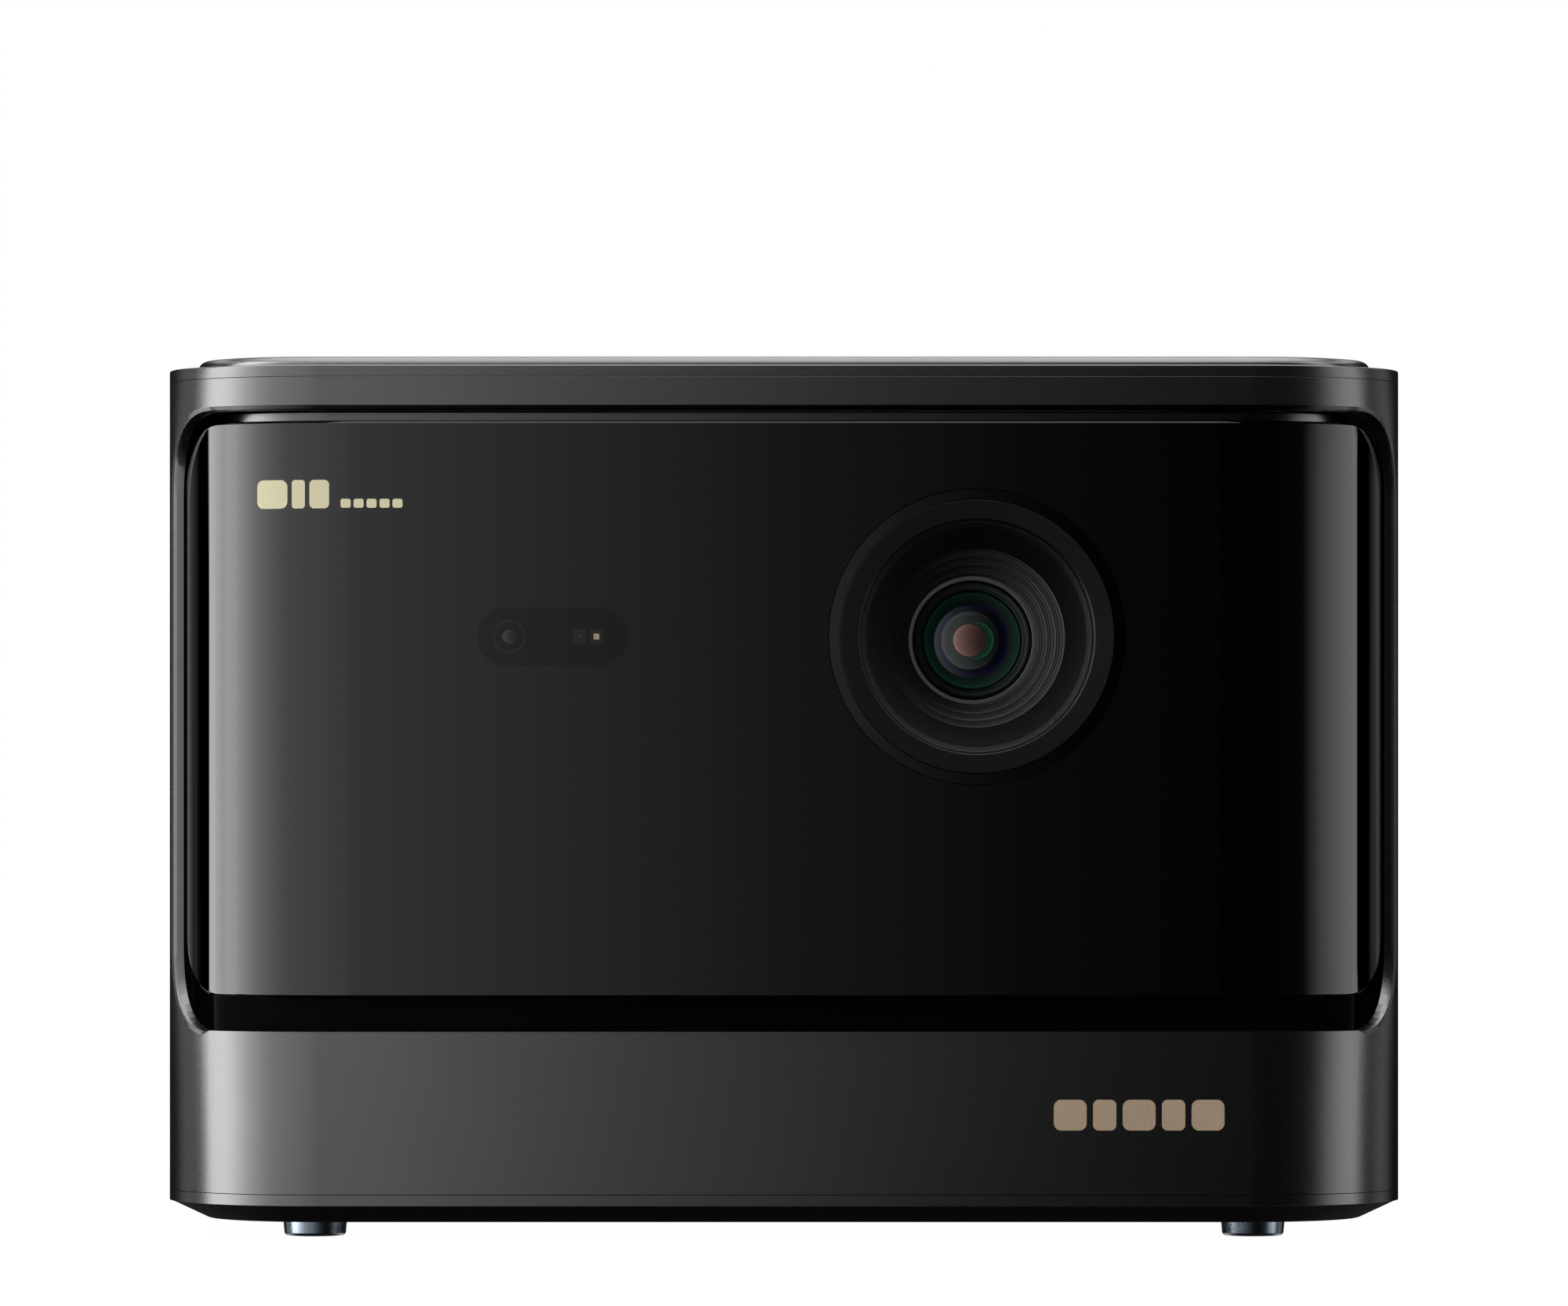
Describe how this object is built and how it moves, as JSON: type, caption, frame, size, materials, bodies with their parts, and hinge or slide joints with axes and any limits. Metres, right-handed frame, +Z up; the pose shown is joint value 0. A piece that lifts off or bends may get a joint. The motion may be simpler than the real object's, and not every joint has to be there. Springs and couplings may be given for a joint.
{
  "type": "home projector",
  "caption": "Round-cornered table-top home projector with a wrap-around dark front glass, recessed lens, sensor window, side and rear grilles and rear sockets.",
  "frame": {"origin": "on the standing surface under the centre of the housing's plan", "axes": "+X to the right of a viewer who faces the lens, +Y from the lens to the rear sockets, +Z up"},
  "size_m": [0.236, 0.2014, 0.1676],
  "materials": {
    "gunmetal": "satin dark gunmetal paint on metal",
    "cover_plate": "dark satin plate with a bright polished edge",
    "gloss_black": "deep black gloss glass",
    "gloss_plastic": "polished black plastic",
    "satin_black": "fine satin black",
    "matte_black": "fine-grained matte black plastic",
    "grey_plastic": "moulded grey plastic",
    "foot_grey": "cool grey elastomer",
    "steel": "plain steel",
    "aluminium": "machined aluminium",
    "copper": "bare copper tube",
    "brass": "turned brass",
    "board_green": "green solder mask",
    "lens_glass": "coated optical glass"
  },
  "bodies": {
    "chassis": {"main_shell": "gunmetal", "top_cover": "gunmetal", "bottom_rim": "gunmetal", "top_plate": "cover_plate", "base_tray": "matte_black", "front_glass": "gloss_black", "front_bezel": "gloss_plastic", "lens_trim_ring": "satin_black", "lens_hood": "matte_black", "retaining_ring": "steel", "lens_barrel": "satin_black", "front_element": "lens_glass", "middle_element": "lens_glass", "rear_element": "lens_glass", "lens_flange": "aluminium", "focus_motor": "steel", "sensor_carrier": "matte_black", "camera_module": "gloss_plastic", "tof_module": "satin_black", "engine_housing": "aluminium", "chip_board": "board_green", "chip_heatsink": "aluminium", "laser_module": "satin_black", "laser_heatsink": "aluminium", "heat_pipe_upper": "copper", "heat_pipe_lower": "copper", "exhaust_fan_frame": "matte_black", "intake_fan_frame": "matte_black", "main_board": "board_green", "button_board": "board_green", "rear_panel": "matte_black", "rear_grille": "matte_black", "side_grille_left": "matte_black", "side_grille_right": "matte_black", "lan_port": "steel", "hdmi_port_1": "steel", "hdmi_port_2": "steel", "usb_port_1": "steel", "usb_port_2": "steel", "optical_port": "matte_black", "dc_jack": "matte_black", "headphone_jack": "matte_black", "speaker_box_left": "matte_black", "speaker_box_right": "matte_black", "tripod_insert": "brass", "foot_front_left": "foot_grey", "base_screw_front_left": "steel", "foot_front_right": "foot_grey", "base_screw_front_right": "steel", "foot_rear_left": "foot_grey", "base_screw_rear_left": "steel", "foot_rear_right": "foot_grey", "base_screw_rear_right": "steel"},
    "focus_ring": {"focus_ring": "grey_plastic"},
    "focus_pinion": {"focus_pinion": "brass"},
    "exhaust_rotor": {"exhaust_fan_rotor": "matte_black"},
    "intake_rotor": {"intake_fan_rotor": "matte_black"},
    "power_button": {"power_button": "satin_black"},
    "cone_left": {"speaker_cone_left": "grey_plastic"},
    "cone_right": {"speaker_cone_right": "grey_plastic"}
  },
  "joints": [
    {"name": "focus_turn", "type": "hinge", "parent": "chassis", "child": "focus_ring", "pos_m": [0.0365, -0.04725, 0.11445], "axis": [0, 1, 0], "range_deg": [-35, 35]},
    {"name": "pinion_turn", "type": "hinge", "parent": "chassis", "child": "focus_pinion", "pos_m": [0.01935, -0.04725, 0.0973], "axis": [0, 1, 0], "range_deg": [-142, 142]},
    {"name": "exhaust_fan_spin", "type": "hinge", "parent": "chassis", "child": "exhaust_rotor", "pos_m": [-0.06731, 0.0857, 0.108], "axis": [0, 1, 0], "continuous": true},
    {"name": "intake_fan_spin", "type": "hinge", "parent": "chassis", "child": "intake_rotor", "pos_m": [0.10305, 0.025, 0.108], "axis": [1, 0, 0], "continuous": true},
    {"name": "power_press", "type": "slide", "parent": "chassis", "child": "power_button", "axis": [0, -1, 0], "range_m": [0, 0.0008], "stiffness_N_per_m": 900},
    {"name": "cone_left_travel", "type": "slide", "parent": "chassis", "child": "cone_left", "axis": [-1, 0, 0], "range_m": [-0.0012, 0.0012], "stiffness_N_per_m": 1500},
    {"name": "cone_right_travel", "type": "slide", "parent": "chassis", "child": "cone_right", "axis": [1, 0, 0], "range_m": [-0.0012, 0.0012], "stiffness_N_per_m": 1500}
  ],
  "couplings": [
    {"joint": "pinion_turn", "follows": "focus_turn", "ratio": -4}
  ]
}
